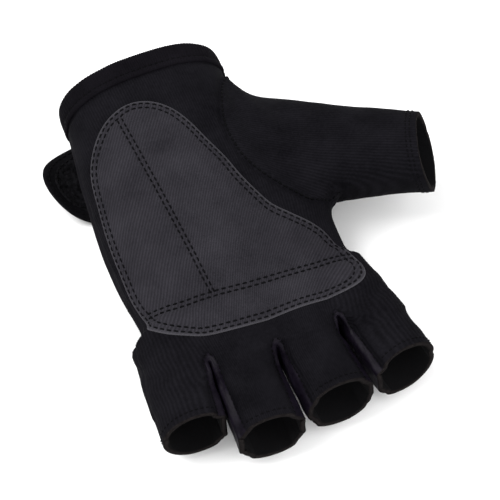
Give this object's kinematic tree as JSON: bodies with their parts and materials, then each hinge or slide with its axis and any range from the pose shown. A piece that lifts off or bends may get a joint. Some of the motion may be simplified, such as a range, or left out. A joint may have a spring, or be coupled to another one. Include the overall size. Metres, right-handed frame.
{
  "type": "sailing glove",
  "caption": "Left-hand short-finger neoprene sailing glove with a stitched twill palm overlay, bound elastic cuff and a hook-and-loop wrist strap.",
  "frame": {"origin": "on the flat of the back panel where the glove lies, under the middle of the palm", "axes": "+Z out of the palm, +Y from the fingers towards the wrist, +X towards the thumb"},
  "size_m": [0.1597, 0.178, 0.0529],
  "materials": {
    "neoprene_palm": "fine ribbed jersey on neoprene, matt",
    "neoprene_back": "smooth jersey on neoprene, matt",
    "palm_twill": "fine twill overlay, matt, raised cut edge",
    "binding_tape": "ribbed elastic tape, matt",
    "fourchette": "thin crumpled stretch fabric, slight sheen",
    "strap_fabric": "smooth faced neoprene strap, matt",
    "hook_tape": "fuzzy black hook tape",
    "loop_tape": "fuzzy black loop tape"
  },
  "bodies": {
    "hand": {"palm_panel": "neoprene_palm", "back_panel": "neoprene_back", "palm_patch": "palm_twill", "cuff_binding": "binding_tape", "loop_patch": "loop_tape"},
    "strap": {"wrist_strap": "strap_fabric", "hook_patch": "hook_tape"},
    "thumb": {"thumb_front": "neoprene_palm", "thumb_back": "neoprene_back"},
    "little": {"little_front": "neoprene_palm", "little_back": "neoprene_back", "little_fourchette_radial": "fourchette"},
    "ring": {"ring_front": "neoprene_palm", "ring_back": "neoprene_back", "ring_fourchette_ulnar": "fourchette", "ring_fourchette_radial": "fourchette"},
    "middle": {"middle_front": "neoprene_palm", "middle_back": "neoprene_back", "middle_fourchette_ulnar": "fourchette", "middle_fourchette_radial": "fourchette"},
    "index": {"index_front": "neoprene_palm", "index_back": "neoprene_back", "index_fourchette_ulnar": "fourchette"}
  },
  "joints": [
    {"name": "strap_peel", "type": "hinge", "parent": "hand", "child": "strap", "pos_m": [0.019, 0.068, 0.0024], "axis": [0, -1, 0], "range_deg": [0, 150]},
    {"name": "thumb_bend", "type": "hinge", "parent": "hand", "child": "thumb", "pos_m": [0.03224, 0.04006, 0.0403], "axis": [0.2504, -0.9681, 0], "range_deg": [0, 40], "stiffness_Nm_per_rad": 0.02},
    {"name": "little_bend", "type": "hinge", "parent": "hand", "child": "little", "pos_m": [-0.0513, -0.04425, 0.0276], "axis": [-1, 0, 0], "range_deg": [0, 60], "stiffness_Nm_per_rad": 0.01},
    {"name": "ring_bend", "type": "hinge", "parent": "hand", "child": "ring", "pos_m": [-0.0242, -0.04425, 0.0276], "axis": [-1, 0, 0], "range_deg": [0, 60], "stiffness_Nm_per_rad": 0.01},
    {"name": "middle_bend", "type": "hinge", "parent": "hand", "child": "middle", "pos_m": [0.0029, -0.04425, 0.0276], "axis": [-1, 0, 0], "range_deg": [0, 60], "stiffness_Nm_per_rad": 0.01},
    {"name": "index_bend", "type": "hinge", "parent": "hand", "child": "index", "pos_m": [0.03, -0.04425, 0.0276], "axis": [-1, 0, 0], "range_deg": [0, 60], "stiffness_Nm_per_rad": 0.01}
  ]
}
